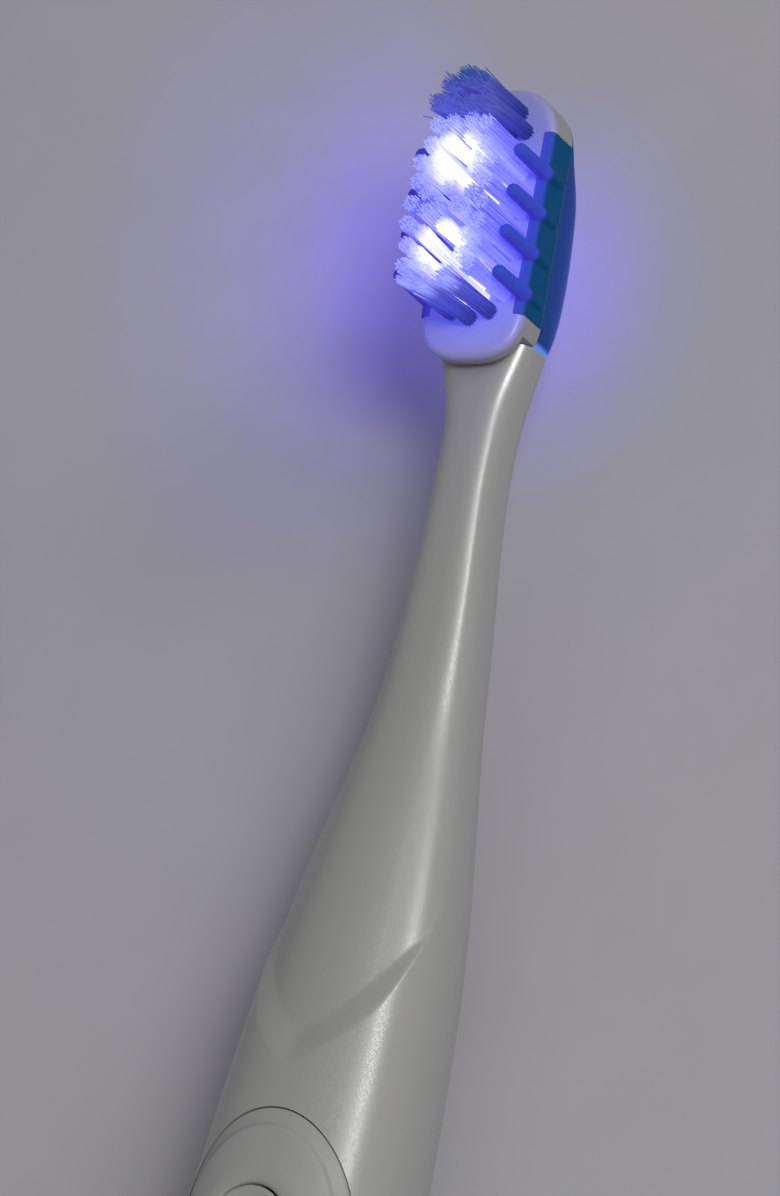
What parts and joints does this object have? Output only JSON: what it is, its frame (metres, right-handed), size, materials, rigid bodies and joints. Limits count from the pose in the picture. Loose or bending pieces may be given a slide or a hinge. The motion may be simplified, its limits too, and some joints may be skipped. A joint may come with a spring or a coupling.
{
  "type": "battery toothbrush",
  "caption": "Slim battery toothbrush with a light-up replaceable brush head, round push button, soft massaging fingers and a pull-off battery cap.",
  "frame": {"origin": "bottom centre of the brush as it lies on its grip pad", "axes": "+Y from the tail to the toe of the head, +Z the way the bristles and the button face, +X across"},
  "size_m": [0.0238, 0.1966, 0.0365],
  "materials": {
    "pearl_plastic": "pearl white, semi-gloss, fine sparkle",
    "teal_rubber": "soft moulded rubber, satin",
    "white_carrier": "plain moulded plastic, satin",
    "blue_shell": "translucent moulded plastic, glossy",
    "white_bristle": "clear nylon filament",
    "blue_bristle": "blue nylon filament",
    "clear_lens": "clear polished window",
    "light_chip": "lit blue-white chip",
    "tongue_plastic": "plain moulded plastic",
    "dark_rubber": "matt rubber",
    "inner_plastic": "black moulded plastic",
    "plunger_plastic": "plain moulded plastic",
    "board_green": "glass-fibre board with solder mask",
    "cell_label": "printed sleeve without lettering",
    "steel": "plain steel",
    "tungsten": "sintered heavy metal",
    "contact_brass": "sprung strip",
    "lead_plastic": "insulated wire"
  },
  "bodies": {
    "handle": {"handle_shell": "pearl_plastic", "control_panel": "pearl_plastic", "button_seal": "dark_rubber", "grip_pad": "teal_rubber", "chassis": "inner_plastic", "main_board": "board_green", "board_components": "inner_plastic", "board_screws": "steel", "switch_body": "inner_plastic", "motor_can": "steel", "motor_end_bell": "inner_plastic", "motor_sleeve": "dark_rubber", "motor_leads": "lead_plastic", "battery_cell": "cell_label", "battery_terminal": "steel", "positive_contact": "contact_brass", "return_strip": "contact_brass", "led_leads": "lead_plastic", "light_tongue": "tongue_plastic", "tongue_contacts": "contact_brass", "led_board": "board_green", "led_chips": "light_chip", "neck_seal": "dark_rubber"},
    "power_button": {"power_button": "pearl_plastic"},
    "switch_plunger": {"switch_plunger": "plunger_plastic"},
    "rotor": {"motor_shaft": "steel", "eccentric_weight": "tungsten"},
    "end_cap": {"end_cap": "pearl_plastic", "cap_seal": "dark_rubber", "cap_contact": "contact_brass", "cap_spring": "steel"},
    "brush_head": {"bristle_carrier": "white_carrier", "light_lenses": "clear_lens", "finger_band_left": "teal_rubber", "finger_band_right": "teal_rubber", "head_back_shell": "blue_shell", "toe_tufts": "blue_bristle", "heel_tufts": "blue_bristle", "rim_tufts": "white_bristle", "inner_tufts": "white_bristle", "tuft_anchors": "steel"}
  },
  "joints": [
    {"name": "button_press", "type": "slide", "parent": "handle", "child": "power_button", "axis": [0, 0, -1], "range_m": [0, 0.0005], "stiffness_N_per_m": 2000, "springref_m": -0.0002},
    {"name": "plunger_press", "type": "slide", "parent": "handle", "child": "switch_plunger", "axis": [0, 0, -1], "range_m": [0, 0.0005]},
    {"name": "motor_spin", "type": "hinge", "parent": "handle", "child": "rotor", "pos_m": [0, 0.00225, 0.0112], "axis": [0, 1, 0], "continuous": true},
    {"name": "cap_pull", "type": "slide", "parent": "handle", "child": "end_cap", "axis": [0, -1, 0], "range_m": [0, 0.02]},
    {"name": "head_pull", "type": "slide", "parent": "handle", "child": "brush_head", "axis": [0, 0.9925, 0.1219], "range_m": [0, 0.024]}
  ],
  "couplings": [
    {"joint": "plunger_press", "follows": "button_press", "ratio": 1}
  ]
}
